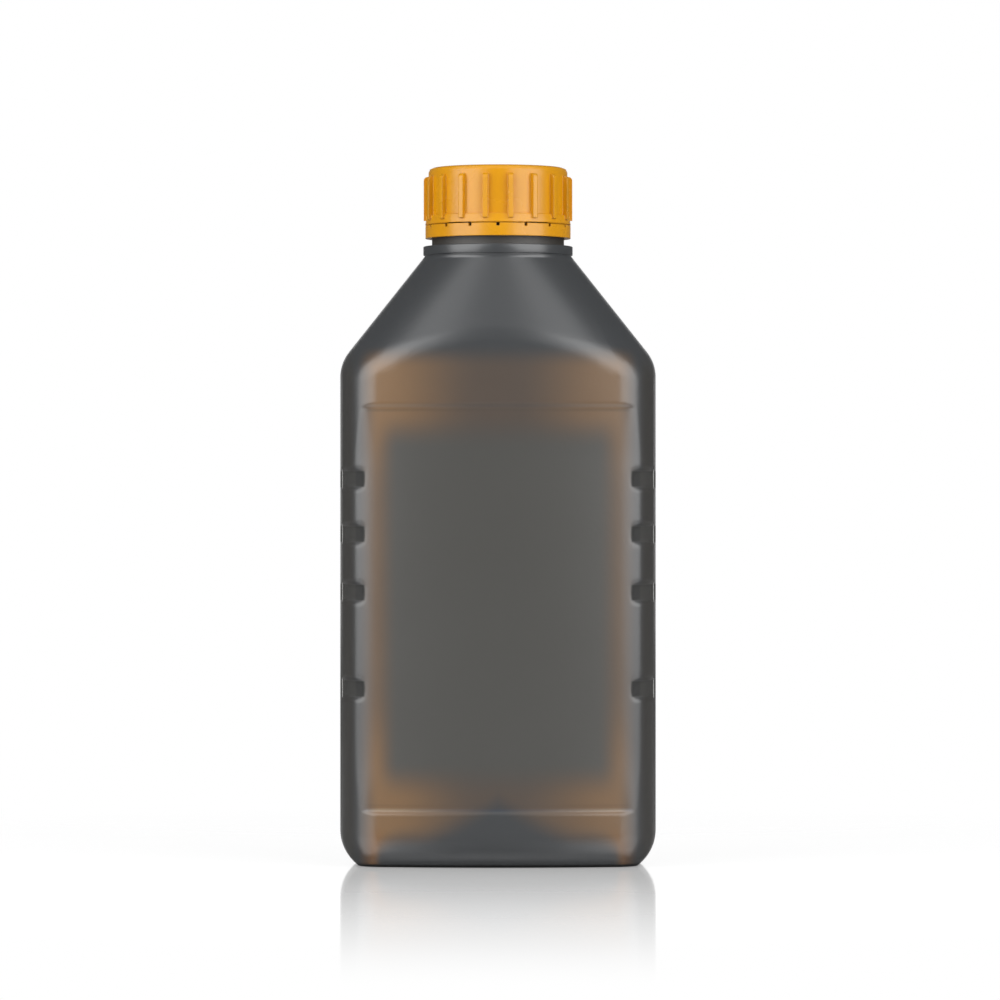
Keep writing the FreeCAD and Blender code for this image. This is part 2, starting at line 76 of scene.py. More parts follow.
HOLLOW_LENGTH, HOLLOW_WIDTH, HOLLOW_RISE, HOLLOW_BLEND = 38.0, 21.0, 9.0, 1.2
WALL = 1.2

# Where the wall's surfaces run into each other: widths of the blends in millimetres
LEDGE_LEAN, LEDGE_NORM = (2.0, 1.6), 2.561
LEDGE_BLEND, PANEL_BLEND, PANEL_BLEND_MORE = 0.3, 0.45, 1.6
LEDGE_REACH, LEDGE_FADE = 1.5, 14
GRIP_NORM = 1.16
GRIP_BLEND, GRIP_CORNER, GRIP_EDGE = 0.8, 2.2, 1.3

# Rows of the bottle's mesh: height and step up to the next
GRIP_ROWS, GRIP_STEP, OPEN_STEP = 5.4, 0.55, 3.0
LOW_ROWS = [(0, 1.1), (15, 0.35), (19.6, 4.0)]
HIGH_ROWS = [(149.6, 0.4), (153.6, 0.9), (190, 1.7), (SHOULDER_HIGH, 1)]
INSIDE_ROWS = [(-198.5, 4.0), (-186, 1.6), (-160, 5.0), (-18, 1.8), (-1.25, 1)]

# Threads: half heights of the profile, how far it sinks into its wall, and its ends
THREAD_FOOT, THREAD_TOP = 1.15 * MM, 0.45 * MM
THREAD_SINK, RUN_OUT_SINK = 0.25 * MM, 0.1 * MM
THREAD_STEPS, RUN_OUT_TURNS = 72, 0.14
NECK_THREAD_RISE, CAP_THREAD_RISE = 4.6 * MM, 2.6 * MM

# Tones of the wall, all painted light and shade: the oil's glow at the heel, shade on the flanks, grips, contact and
# neck, and pale light on the grip rims
HEEL_GLOW = (0.20, 0.088, 0.022, 1)
FLANK_WARM_SHADE = (0.046, 0.0435, 0.040, 1)
GRIP_SHADE = (0.024, 0.023, 0.020, 1)
GRIP_END_SHADE = (0.010, 0.010, 0.009, 1)
# Pale rims of painted light at the grip corners.
GRIP_RIM_LIGHT = (0.42, 0.42, 0.41, 1)
CONTACT_SHADOW = (0.006, 0.006, 0.006, 1)
NECK_SHADE = (0.026, 0.022, 0.017, 1)

# Painted highlight and shade lines along the panel's ledges: height, half width and tone that multiplies the wall
LEDGE_HIGHLIGHTS_AND_SHADES = (
    (PANEL_LOW + 0.4, 0.8, (1.3, 1.6, 2.2, 1)),
    (PANEL_LOW + 1.9, 0.6, (0.9, 0.9, 0.9, 1)),
    (PANEL_HIGH + 0.5, 0.7, (1.05, 1.12, 1.25, 1)),
    (PANEL_HIGH - 1.0, 0.7, (0.8, 0.82, 0.84, 1)),
)

# Lamps: name, azimuth, distance, height, width, tall, setting of the power, share of it
LAMPS = (
    ("soft_box_left", -53, 0.8, 0.43, 0.78, 0.82, "lamp_power", 1.0),
    ("soft_box_right", 51, 0.8, 0.43, 0.78, 0.82, "lamp_power", 1.0),
    ("strip_left", -22, 0.85, 0.43, 0.2, 0.36, "strip_power", 1.0),
    ("strip_right", 21, 0.85, 0.43, 0.2, 0.36, "strip_power", 1.25),
    ("ceiling_panel", 0, 0.35, 0.85, 0.9, 0.5, "ceiling_power", 1.0),
)
LAMP_AIM = Vector((0, 0, 0.11))


# Sizes and colours

class BottleSettings(bpy.types.PropertyGroup):
    """Sizes and colours of the bottle itself."""

    smoke: bpy.props.FloatVectorProperty(
        name="Smoke", description="Grey of the empty part of the wall",
        subtype="COLOR", size=4, min=0, max=1, default=(0.047, 0.050, 0.053, 1))
    # Amber is painted light: the glow of light through the oil, painted into the wall's colour.
    amber: bpy.props.FloatVectorProperty(
        name="Amber", description="Brown of the oil where light comes through the wall",
        subtype="COLOR", size=4, min=0, max=1, default=(0.205, 0.114, 0.048, 1))
    shade: bpy.props.FloatVectorProperty(
        name="Shade", description="Grey of the wall where the label stops the light from behind",
        subtype="COLOR", size=4, min=0, max=1, default=(0.074, 0.072, 0.065, 1))
    # Glow top and glow half width bound the painted glow of the oil.
    glow_top: bpy.props.FloatProperty(
        name="Glow top", description="Height at which the oil colour fades out",
        unit="LENGTH", default=OIL_HIGH.z + 8.5 * MM)
    glow_half_width: bpy.props.FloatProperty(
        name="Glow half width", description="Distance from the middle to the upright edge of the front panel",
        unit="LENGTH", default=42.6 * MM)
    thread_turns: bpy.props.FloatProperty(
        name="Thread turns", description="Turns of the thread on the neck", min=1, max=3, default=2.0)
    thread_pitch: bpy.props.FloatProperty(
        name="Thread pitch", description="Rise of the thread in one turn",
        unit="LENGTH", default=4 * MM)
    thread_root: bpy.props.FloatProperty(
        name="Thread root", description="Radius at the foot of the neck thread",
        unit="LENGTH", default=20.7 * MM)
    thread_crest: bpy.props.FloatProperty(
        name="Thread crest", description="Radius at the top of the neck thread",
        unit="LENGTH", default=21.6 * MM)
    seam_width: bpy.props.FloatProperty(
        name="Weld width", description="Width of the weld under the foot",
        unit="LENGTH", default=1.2 * MM)


class CapSettings(bpy.types.PropertyGroup):
    """Sizes and colours of the screw cap, its liner and the ring below it."""

    orange: bpy.props.FloatVectorProperty(
        name="Orange", description="Colour of the cap and the tamper ring",
        subtype="COLOR", size=4, min=0, max=1, default=(0.73, 0.325, 0.002, 1))
    orange_deep: bpy.props.FloatVectorProperty(
        name="Deep orange", description="Darker orange in the flow marks of the plastic",
        subtype="COLOR", size=4, min=0, max=1, default=(0.67, 0.285, 0.002, 1))
    foam: bpy.props.FloatVectorProperty(
        name="Foam", description="Colour of the sealing liner",
        subtype="COLOR", size=4, min=0, max=1, default=(0.80, 0.80, 0.77, 1))
    thread_turns: bpy.props.FloatProperty(
        name="Thread turns", description="Turns of the thread in the cap", min=1, max=3, default=1.75)
    thread_root: bpy.props.FloatProperty(
        name="Thread root", description="Radius of the wall that carries the cap thread",
        unit="LENGTH", default=22.0 * MM)
    thread_crest: bpy.props.FloatProperty(
        name="Thread crest", description="Radius at the top of the cap thread",
        unit="LENGTH", default=21.15 * MM)
    score_radius: bpy.props.FloatProperty(
        name="Score radius", description="Radius of the thin skin left between the cap and the ring",
        unit="LENGTH", default=RING_HIGH.x - 0.35 * MM)


class StageSettings(bpy.types.PropertyGroup):
    """Camera, lamps, floor and the pale surroundings."""

    camera_distance: bpy.props.FloatProperty(
        name="Camera distance", description="From the bottle's middle to the camera",
        unit="LENGTH", default=1.8)
    camera_height: bpy.props.FloatProperty(
        name="Camera height", description="Height of the camera above the floor",
        unit="LENGTH", default=0.1173)
    view_width: bpy.props.FloatProperty(
        name="View width", description="Width that the picture takes in at the bottle",
        unit="LENGTH", default=1 / 3)
    lamp_power: bpy.props.FloatProperty(
        name="Lamp power", description="Power of each upright soft box in watts", default=5.7)
    surround: bpy.props.FloatProperty(
        name="Surround", description="Strength of the light from all round", default=0.22)
    mirrored_surround: bpy.props.FloatProperty(
        name="Mirrored surround", description="Strength of the surroundings in the gloss of the plastic",
        default=0.10)
    strip_power: bpy.props.FloatProperty(
        name="Strip power", description="Power of each dim strip between camera and soft box in watts", default=0.22)
    ceiling_power: bpy.props.FloatProperty(
        name="Ceiling power", description="Power of the dim panel overhead in watts", default=0.9)
    floor_lift: bpy.props.FloatProperty(
        name="Floor lift", description="Brings the open floor up to the white of the backdrop", default=1.26)


# Shared tools

def clear_selection():
    """Leaves object mode with nothing selected."""
    if bpy.context.object and bpy.context.object.mode != "OBJECT":
        bpy.ops.object.mode_set(mode="OBJECT")
    bpy.ops.object.select_all(action="DESELECT")


def take(piece):
    """Makes one piece the only selected and active one."""
    clear_selection()
    piece.select_set(True)
    bpy.context.view_layer.objects.active = piece


def settle(piece):
    """Puts the place, turn and scale of a piece into its mesh."""
    take(piece)
    bpy.ops.object.transform_apply(location=True, rotation=True, scale=True)


def link_or_set(tree, socket, value):
    """Feeds a socket from another socket, or sets its value."""
    if isinstance(value, bpy.types.NodeSocket):
        tree.links.new(value, socket)
    else:
        socket.default_value = value


def calc(tree, operation, *values, clamp=False):
    """One Math node with its inputs fed or set."""
    node = tree.nodes.new("ShaderNodeMath")
    node.operation = operation
    node.use_clamp = clamp
    for socket, value in zip(node.inputs, values):
        link_or_set(tree, socket, value)
    return node.outputs[0]


def fade(tree, value, start, end):
    """A smooth step from 0 at start to 1 at end."""
    node = tree.nodes.new("ShaderNodeMapRange")
    node.interpolation_type = "SMOOTHSTEP"
    for socket, number in zip(node.inputs, (value, start, end, 0.0, 1.0)):
        link_or_set(tree, socket, number)
    return node.outputs[0]


def blend_colour(tree, factor, first, second, mode="MIX"):
    """Mixes two colours by a factor."""
    node = tree.nodes.new("ShaderNodeMix")
    node.data_type = "RGBA"
    node.blend_type = mode
    link_or_set(tree, node.inputs[0], factor)
    link_or_set(tree, node.inputs[6], first)
    link_or_set(tree, node.inputs[7], second)
    return node.outputs[2]


def fade_mm(tree, value, start, end):
    """A smooth step between two lengths in millimetres."""
    return fade(tree, value, start * MM, end * MM)


def product(tree, *values, clamp=False):
    """Several values multiplied together."""
    result = values[0]
    for value in values[1:-1]:
        result = calc(tree, "MULTIPLY", result, value)
    return calc(tree, "MULTIPLY", result, values[-1], clamp=clamp)


def rest_of(tree, value):
    """What a mask leaves of one."""
    return calc(tree, "SUBTRACT", 1.0, value)


def at_least(tree, least, value):
    """Brings a mask up, so that it runs from least to one."""
    return calc(tree, "ADD", calc(tree, "MULTIPLY", value, 1 - least), least)


def away_from(tree, value, middle):
    """How far a value is from a length in millimetres, either way."""
    return calc(tree, "ABSOLUTE", calc(tree, "SUBTRACT", value, middle * MM))


def from_axis(tree, x, y):
    """Distance over the floor from the bottle's axis."""
    return calc(tree, "SQRT", calc(tree, "ADD", product(tree, x, x), product(tree, y, y)))


def object_place(tree):
    """The Object coordinates as one vector."""
    return tree.nodes.new("ShaderNodeTexCoord").outputs["Object"]


def split(tree, where):
    """A vector's three parts, each as its own socket."""
    parts = tree.nodes.new("ShaderNodeSeparateXYZ")
    tree.links.new(where, parts.inputs[0])
    return parts.outputs[0], parts.outputs[1], parts.outputs[2]


def mix_shader(tree, factor, first, second):
    """Mixes two shaders by a factor."""
    node = tree.nodes.new("ShaderNodeMixShader")
    link_or_set(tree, node.inputs[0], factor)
    tree.links.new(first, node.inputs[1])
    tree.links.new(second, node.inputs[2])
    return node.outputs[0]


def emission(tree, strength=1.0):
    """A white emission of that strength."""
    node = tree.nodes.new("ShaderNodeEmission")
    node.inputs["Strength"].default_value = strength
    return node.outputs[0]


def plastic_skin():
    """Node group: the fine grain and the uneven gloss of moulded plastic."""
    group = bpy.data.node_groups.get("Plastic skin")
    if group:
        return group
    group = bpy.data.node_groups.new("Plastic skin", "ShaderNodeTree")
    for name, kind, default in (("Vector", "NodeSocketVector", None), ("Grain Scale", "NodeSocketFloat", 900.0),
                                ("Gloss Scale", "NodeSocketFloat", 30.0), ("Base Roughness", "NodeSocketFloat", 0.35),
                                ("Unevenness", "NodeSocketFloat", 0.08)):
        socket = group.interface.new_socket(name=name, in_out="INPUT", socket_type=kind)
        if default is not None:
            socket.default_value = default
    for name in ("Height", "Roughness", "Cloud"):
        group.interface.new_socket(name=name, in_out="OUTPUT", socket_type="NodeSocketFloat")
    entry = group.nodes.new("NodeGroupInput")
    leave = group.nodes.new("NodeGroupOutput")
    grain = group.nodes.new("ShaderNodeTexNoise")
    grain.inputs["Detail"].default_value = 3
    cloud = group.nodes.new("ShaderNodeTexNoise")
    cloud.inputs["Detail"].default_value = 4
    for node, scale in ((grain, "Grain Scale"), (cloud, "Gloss Scale")):
        group.links.new(entry.outputs["Vector"], node.inputs["Vector"])
        group.links.new(entry.outputs[scale], node.inputs["Scale"])
    centred = calc(group, "SUBTRACT", cloud.outputs["Fac"], 0.5)
    swing = calc(group, "MULTIPLY", centred, entry.outputs["Unevenness"])
    roughness = calc(group, "ADD", swing, entry.outputs["Base Roughness"], clamp=True)
    group.links.new(grain.outputs["Fac"], leave.inputs["Height"])
    group.links.new(roughness, leave.inputs["Roughness"])
    group.links.new(cloud.outputs["Fac"], leave.inputs["Cloud"])
    return group


def new_material(name):
    """A node material with one shader: the material, its tree, the shader and the output's socket."""
    material = bpy.data.materials.new(name)
    material.use_nodes = True
    tree = material.node_tree
    tree.nodes.clear()
    shader = tree.nodes.new("ShaderNodeBsdfPrincipled")
    surface = tree.nodes.new("ShaderNodeOutputMaterial").inputs["Surface"]
    tree.links.new(shader.outputs[0], surface)
    return material, tree, shader, surface


def dress_skin(tree, shader, where, grain, gloss, roughness, unevenness, bump, edge=0):
    """Adds grain, uneven gloss and softened edges to a shader, and returns the skin's node."""
    skin = tree.nodes.new("ShaderNodeGroup")
    skin.node_tree = plastic_skin()
    tree.links.new(where, skin.inputs["Vector"])
    skin.inputs["Grain Scale"].default_value = grain
    skin.inputs["Gloss Scale"].default_value = gloss
    skin.inputs["Base Roughness"].default_value = roughness
    skin.inputs["Unevenness"].default_value = unevenness
    tree.links.new(skin.outputs["Roughness"], shader.inputs["Roughness"])
    relief = tree.nodes.new("ShaderNodeBump")
    relief.inputs["Strength"].default_value = 1.0
    relief.inputs["Distance"].default_value = bump
    tree.links.new(skin.outputs["Height"], relief.inputs["Height"])
    if edge:
        soft = tree.nodes.new("ShaderNodeBevel")
        soft.samples = 6
        soft.inputs["Radius"].default_value = edge
        tree.links.new(soft.outputs[0], relief.inputs["Normal"])
    tree.links.new(relief.outputs[0], shader.inputs["Normal"])
    return skin


def dress(piece, material):
    """Gives a piece one material on all its faces."""
    piece.data.materials.clear()
    piece.data.materials.append(material)


# Materials

def label_shade(tree, across, z):
    """Mask of the painted shade of the label on the back, soft at its edges as if seen through the oil."""
    half, low, high = LABEL_HIGH.x / MM, LABEL_LOW.z / MM, LABEL_HIGH.z / MM
    return product(tree, fade_mm(tree, across, half + 3, half - 6),
                   product(tree, fade_mm(tree, z, low - 4, low + 9), fade_mm(tree, z, high + 4, high - 9)))


def foot_shade(tree, across, z):
    """Mask of the painted shade of the hollow base seen through the oil: a low dome over the foot, with a peak in the
    middle.
    """
    flank = calc(tree, "POWER", calc(tree, "DIVIDE", across, 41.5 * MM), 12.0)
    dome = product(tree, rest_of(tree, flank), 9.2 * MM)
    inward = calc(tree, "SUBTRACT", 1.0, calc(tree, "DIVIDE", across, 26 * MM), clamp=True)
    peak = product(tree, calc(tree, "POWER", inward, 1.7), 12 * MM)
    above = calc(tree, "SUBTRACT", z, calc(tree, "ADD", dome, peak))
    return product(tree, fade_mm(tree, above, 6, -3), fade_mm(tree, across, 42, 38))


def oil_glow_mask(tree, z, top):
    """Mask of the painted glow of light through the oil, with a soft level and less of it halfway up."""
    halfway = product(tree, fade_mm(tree, z, 32, 60), fade_mm(tree, z, 150, 120))
    return product(tree, fade_mm(tree, z, top, top - 8), rest_of(tree, product(tree, halfway, 0.4)))


def grip_shade_and_light_masks(tree, across, y, z):
    """Masks of painted light on the grip grooves: shade on their floors and deeper shade at their inner ends, and
    pale light on the rims at the corners.
    """
    off = 1.0
    for height in GRIP_HEIGHTS:
        off = calc(tree, "MINIMUM", off, away_from(tree, z, height))
    floor = product(tree, fade_mm(tree, off, 2.9, 2.2), fade_mm(tree, across, GRIP_FRONT - 0.9, GRIP_FRONT + 0.1))
    end = product(tree, floor, fade_mm(tree, across, 47.2, 46.2))
    corner = product(tree, fade_mm(tree, away_from(tree, across, 51.65), 0.5, 0.25),
                     fade_mm(tree, away_from(tree, calc(tree, "ABSOLUTE", y), 18.4), 1.5, 1.1))
    return floor, end, product(tree, corner, fade_mm(tree, off, 3.6, 2.8))


def smoked_wall():
    """Smoke grey plastic whose colour carries painted light: the oil's glow, the painted shade of the label and the
    foot behind it, painted shade on flanks, grips, contact and neck, and painted highlights and pale light on ledges
    and grip rims.
    """
    found = bpy.data.materials.get("Smoked wall")
    if found:
        return found
    sizes = bpy.context.scene.oil_bottle
    material, tree, shader, _ = new_material("Smoked wall")
    where = object_place(tree)
    x, y, z = split(tree, where)
    across = calc(tree, "ABSOLUTE", x)
    half = sizes.glow_half_width / MM
    skin = dress_skin(tree, shader, where, grain=700.0, gloss=26.0, roughness=0.30, unevenness=0.06, bump=0.02 * MM)

    # Painted light: the oil's glow, stronger toward the sides and on the left, kept out where the label and the
    # hollow foot stop it.
    behind = label_shade(tree, across, z)
    panel = fade_mm(tree, across, half + 4, half - 4)
    outward = at_least(tree, 0.28, fade_mm(tree, across, 6, 40))
    lean = at_least(tree, 0.8, fade_mm(tree, x, 45, -45))
    open_wall = product(tree, rest_of(tree, behind), rest_of(tree, foot_shade(tree, across, z)))
    uneven = calc(tree, "ADD", product(tree, skin.outputs["Cloud"], 0.3), 0.85)
    glow = product(tree, outward, lean, open_wall, oil_glow_mask(tree, z, sizes.glow_top / MM), panel, uneven, clamp=True)
    # The painted glow turns a deeper brown low at the heel.
    heel_glow_mask = product(tree, fade_mm(tree, z, 16, 5), fade_mm(tree, across, 34, 41))
    brown = blend_colour(tree, heel_glow_mask, tuple(sizes.amber), HEEL_GLOW)
    # The label's painted shade on the smoke grey, where no glow shows.
    ground = blend_colour(tree, product(tree, behind, panel, 0.9), tuple(sizes.smoke), tuple(sizes.shade))
    colour = blend_colour(tree, glow, ground, brown)

    # Painted highlight and shade lines along the ledges of the panel.
    ledged = fade_mm(tree, across, half + 2, half)
    for height, width, tone in LEDGE_HIGHLIGHTS_AND_SHADES:
        band = fade_mm(tree, away_from(tree, z, height), width, 0.15)
        colour = blend_colour(tree, product(tree, band, ledged, outward), colour, tone, mode="MULTIPLY")
    # Sides painted darker and warmer: painted shade tinted by the oil.
    flank = product(tree, fade_mm(tree, across, 45, 49), fade_mm(tree, z, 175, 160))
    # Painted shade in the grip floors and their inner ends, painted light on the rims.
    floor, end, rim_light = grip_shade_and_light_masks(tree, across, y, z)
    # Painted contact shadow along the bottom edge.
    contact_shadow_mask = fade_mm(tree, z, 1.3, 0.5)
    # Painted shade of the neck under the cap.
    neck = fade_mm(tree, z, COLLAR_HIGH - 0.1, COLLAR_HIGH + 0.4)
    for mask, tone in ((flank, FLANK_WARM_SHADE), (floor, GRIP_SHADE), (end, GRIP_END_SHADE), (rim_light, GRIP_RIM_LIGHT),
                       (contact_shadow_mask, CONTACT_SHADOW), (neck, NECK_SHADE)):
        colour = blend_colour(tree, mask, colour, tone)
    tree.links.new(colour, shader.inputs["Base Color"])

    dull = calc(tree, "ADD", product(tree, floor, 0.5), product(tree, neck, 0.25))
    roughness = calc(tree, "ADD", skin.outputs["Roughness"], dull, clamp=True)
    tree.links.new(roughness, shader.inputs["Roughness"])
    shader.inputs["IOR"].default_value = 1.5
    shader.inputs["Specular IOR Level"].default_value = 0.95
    return material


def clouded(name, dark, light, ior=1.5, specular=0.5, **skin):
    """A plain finish that wanders between two tones, made once for each name."""
    found = bpy.data.materials.get(name)
    if found:
        return found
    material, tree, shader, _ = new_material(name)
    cloud = dress_skin(tree, shader, object_place(tree), **skin).outputs["Cloud"]
    tree.links.new(blend_colour(tree, cloud, dark, light), shader.inputs["Base Color"])
    shader.inputs["IOR"].default_value = ior
    shader.inputs["Specular IOR Level"].default_value = specular
    return material


def orange_plastic():
    """Satin orange plastic of the cap and the tamper ring."""
    colours = bpy.context.scene.oil_cap
    return clouded("Orange plastic", tuple(colours.orange_deep), tuple(colours.orange), ior=1.49, specular=0.6,
                   grain=900.0, gloss=60.0, roughness=0.27, unevenness=0.06, bump=0.02 * MM, edge=0.45 * MM)


def foam_liner():
    """Pale closed-cell foam with a pressed ring where the mouth seals."""
    colours = bpy.context.scene.oil_cap
    material, tree, shader, _ = new_material("Foam liner")
    where = object_place(tree)
    x, y, _ = split(tree, where)
    skin = dress_skin(tree, shader, where, grain=1600.0, gloss=90.0, roughness=0.62, unevenness=0.12, bump=0.08 * MM)
    mouth = (BORE_RADIUS + FINISH_RADIUS) / 2
    pressed = fade_mm(tree, away_from(tree, from_axis(tree, x, y), mouth), 1.2, 0.5)
    base = blend_colour(tree, skin.outputs["Cloud"], (0.74, 0.74, 0.71, 1), tuple(colours.foam))
    colour = blend_colour(tree, product(tree, pressed, 0.5), base, (0.55, 0.53, 0.48, 1))
    tree.links.new(colour, shader.inputs["Base Color"])
    return material


def label_film():
    """Plain white film label with a soft sheen."""
    return clouded("Label film", (0.72, 0.73, 0.73, 1), (0.80, 0.80, 0.79, 1),
                   grain=1200.0, gloss=40.0, roughness=0.30, unevenness=0.10, bump=0.02 * MM)


def motor_oil():
    """Clear amber oil."""
    return clouded("Motor oil", (0.20, 0.075, 0.012, 1), (0.32, 0.13, 0.02, 1), ior=1.47,
                   grain=90.0, gloss=12.0, roughness=0.06, unevenness=0.04, bump=0.01 * MM)


# Pieces

def screw_thread(name, root, crest, low, pitch, turns, body):
    """A thread wound from one profile, with both of its ends run out."""
    outward = 1 if crest > root else -1
    clear_selection()
    bpy.ops.mesh.primitive_plane_add(size=1, location=(0, 0, 0))
    thread = bpy.context.object
    thread.name = thread.data.name = name
    sunk = root - THREAD_SINK * outward
    profile = ((sunk, -THREAD_FOOT), (crest, -THREAD_TOP), (sunk, THREAD_FOOT), (crest, THREAD_TOP))
    for vertex, (radius, height) in zip(thread.data.vertices, profile):
        vertex.co = Vector((radius, 0, low + height))
    take(thread)
    bpy.ops.object.mode_set(mode="EDIT")
    bpy.ops.mesh.select_all(action="SELECT")
    bpy.ops.mesh.delete(type="ONLY_FACE")
    bpy.ops.object.mode_set(mode="OBJECT")
    wind = thread.modifiers.new("Wind", "SCREW")
    wind.axis = "Z"
    wind.angle = math.tau * turns
    wind.screw_offset = pitch * turns
    wind.steps = wind.render_steps = int(THREAD_STEPS * turns)
    wind.iterations = 1
    bpy.ops.object.modifier_apply(modifier=wind.name)
    ended = root - RUN_OUT_SINK * outward
    for vertex in thread.data.vertices:
        reach, turn = math.hypot(vertex.co.x, vertex.co.y), math.atan2(vertex.co.y, vertex.co.x)
        along = (vertex.co.z - low) / (pitch * turns)
        grown = min(max(min(along, 1 - along) * turns / RUN_OUT_TURNS, 0.0), 1.0)
        if (reach - root) * outward > 0:
            reach = ended + (reach - ended) * grown
            vertex.co.x, vertex.co.y = reach * math.cos(turn), reach * math.sin(turn)
    bpy.ops.object.mode_set(mode="EDIT")
    bpy.ops.mesh.select_all(action="SELECT")
    bpy.ops.mesh.remove_doubles(threshold=1e-6)
    bpy.ops.mesh.select_all(action="DESELECT")
    bpy.ops.mesh.select_non_manifold()
    bpy.ops.mesh.edge_face_add()
    bpy.ops.mesh.select_all(action="SELECT")
    bpy.ops.mesh.normals_make_consistent(inside=False)
    bpy.ops.object.mode_set(mode="OBJECT")
    bpy.ops.object.shade_smooth_by_angle(angle=math.radians(35))
    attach(thread, body)
    return thread


def score_line(height, radius):
    """Thin skin left in the cut between the cap and the ring, open between the outer windows."""
    clear_selection()
    bpy.ops.mesh.primitive_torus_add(major_segments=240, minor_segments=8, major_radius=radius,
                                     minor_radius=0.22 * MM, location=(0, 0, height))
    score = bpy.context.object
    score.name = score.data.name = "score_line"
    settle(score)
    bpy.ops.object.mode_set(mode="EDIT")
    bpy.ops.mesh.select_all(action="DESELECT")
    bpy.ops.object.mode_set(mode="OBJECT")
    for vertex in score.data.vertices:
        turn = math.degrees(math.atan2(abs(vertex.co.x), abs(vertex.co.y)))
        vertex.select = 23 < turn < 43
    bpy.ops.object.mode_set(mode="EDIT")
    bpy.ops.mesh.delete(type="VERT")
    bpy.ops.mesh.select_all(action="SELECT")
    bpy.ops.mesh.region_to_loop()
    bpy.ops.mesh.edge_face_add()
    bpy.ops.mesh.select_all(action="SELECT")
    bpy.ops.mesh.normals_make_consistent(inside=False)
    bpy.ops.object.mode_set(mode="OBJECT")
    bpy.ops.object.shade_smooth_by_angle(angle=math.radians(50))
    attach(score, "cap")
    return score


# Bottle form in millimetres, as distances from its surfaces, negative inside the plastic

def corner_centre(half_width, half_depth, front, side, corner):
    """Centre of the arc that joins the front crown to the side crown."""
    front_y, side_x = front - half_depth, side - half_width
    apart = np.hypot(front_y, side_x)
    along = ((front - corner) ** 2 - (side - corner) ** 2 + apart ** 2) / (2 * apart)
    off = np.sqrt((front - corner) ** 2 - along ** 2)
    return (off * front_y - along * side_x) / apart, (along * front_y + off * side_x) / apart - front_y


def plan_gap(x, y, half_width, half_depth, front, side, corner):
    """Distance from a plan of crowned faces and rounded corners."""
    x, y = np.abs(x), np.abs(y)
    front_y, side_x = front - half_depth, side - half_width
    cx, cy = corner_centre(half_width, half_depth, front, side, corner)
    to_front = np.hypot(x, y + front_y) - front
    to_side = np.hypot(x + side_x, y) - side
    to_corner = np.hypot(x - cx, y - cy) - corner
    on_front = x * (cy + front_y) < cx * (y + front_y)
    on_side = y * (cx + side_x) < cy * (x + side_x)
    edge = np.where(on_front, to_front, np.where(on_side, to_side, to_corner))
    return np.where(on_front & on_side, np.maximum(to_front, to_side), edge)


def hood_gap(x, y, z):
    """Distance from the plan of the sloped shoulder at each height."""
    share = (z - SHOULDER_LOW) / (SHOULDER_HIGH - SHOULDER_LOW)
    share = np.clip(share, -0.2, 1.0)
    numbers = [foot + (top - foot) * share for foot, top in zip(SHOULDER_FOOT, SHOULDER_TOP)]
    return plan_gap(x, y, *numbers)


def soft_max(first, second, width):
    """Larger of the two, with the crease between them rounded."""
    near = np.maximum(width - np.abs(first - second), 0) / width
    return np.maximum(first, second) + near * near * width / 4


def soft_min(first, second, width):
    """Smaller of the two, with the crease between them filled."""
    return -soft_max(-first, -second, width)


def round_meet(first, second, cosine, radius):
    """Two surfaces joined by a fillet of that radius, at any angle between their normals."""
    one, two = first + radius, second + radius
    between = (one > cosine * two) & (two > cosine * one)
    reach = np.sqrt(np.maximum(one * one + two * two - 2 * cosine * one * two, 0) / (1 - cosine ** 2))
    return np.where(between, reach - radius, np.maximum(first, second))


def bottle_gap(x, y, z):
    """Distance from the bottle's outside."""
    x, y = np.abs(x), np.abs(y)
    small = 0.05
    column = plan_gap(x, y, *COLUMN)
    hood = hood_gap(x, y, z)
    rise = (hood_gap(x, y, z + small) - hood_gap(x, y, z - small)) / (2 * small)
    steep = np.sqrt(1 + rise * rise)
    slopes = [(gap(x + small, y) - gap(x - small, y), gap(x, y + small) - gap(x, y - small))
              for gap in (lambda u, v: plan_gap(u, v, *COLUMN), lambda u, v: hood_gap(u, v, z))]
    cosine = (slopes[0][0] * slopes[1][0] + slopes[0][1] * slopes[1][1]) / (4 * small * small) / steep
    form = round_meet(column, hood / steep, np.clip(cosine, 0, 0.98), RIDGE_RADIUS)
    form = np.maximum(form, round_meet(column, -z - HEEL_DROP, 0.0, HEEL_RADIUS))
    crown = np.hypot(x, y + COLUMN[2] - COLUMN[1]) - (COLUMN[2] - PANEL_DEEP)
    out, up = LEDGE_LEAN
    low = (crown * out + (z - PANEL_LOW) * up) / LEDGE_NORM
    high = (crown * out - (z - PANEL_HIGH) * up) / LEDGE_NORM
    ledge_off = np.minimum(np.abs(z - PANEL_LOW), np.abs(z - PANEL_HIGH))
    softer = PANEL_BLEND_MORE * np.clip((ledge_off - LEDGE_REACH) / LEDGE_FADE, 0, 1)
    panel = soft_min(crown, soft_min(low, high, LEDGE_BLEND), LEDGE_BLEND)
    form = soft_max(form, panel, PANEL_BLEND + softer)
    cx, cy = corner_centre(*COLUMN)
    sleeve = np.hypot(x - cx - GRIP_SHIFT, y - cy) - (COLUMN[4] - GRIP_DEEP)
    off = np.min([np.abs(z - height) for height in GRIP_HEIGHTS], axis=0)
    walls = (GRIP_HALF + sleeve * GRIP_SLOPE - off) / GRIP_NORM
    ends = soft_min(x - GRIP_FRONT, y - GRIP_SIDE, GRIP_BLEND)
    notch = soft_min(sleeve, soft_min(walls, ends, GRIP_CORNER), GRIP_BLEND)
    return soft_max(form, notch, GRIP_EDGE)


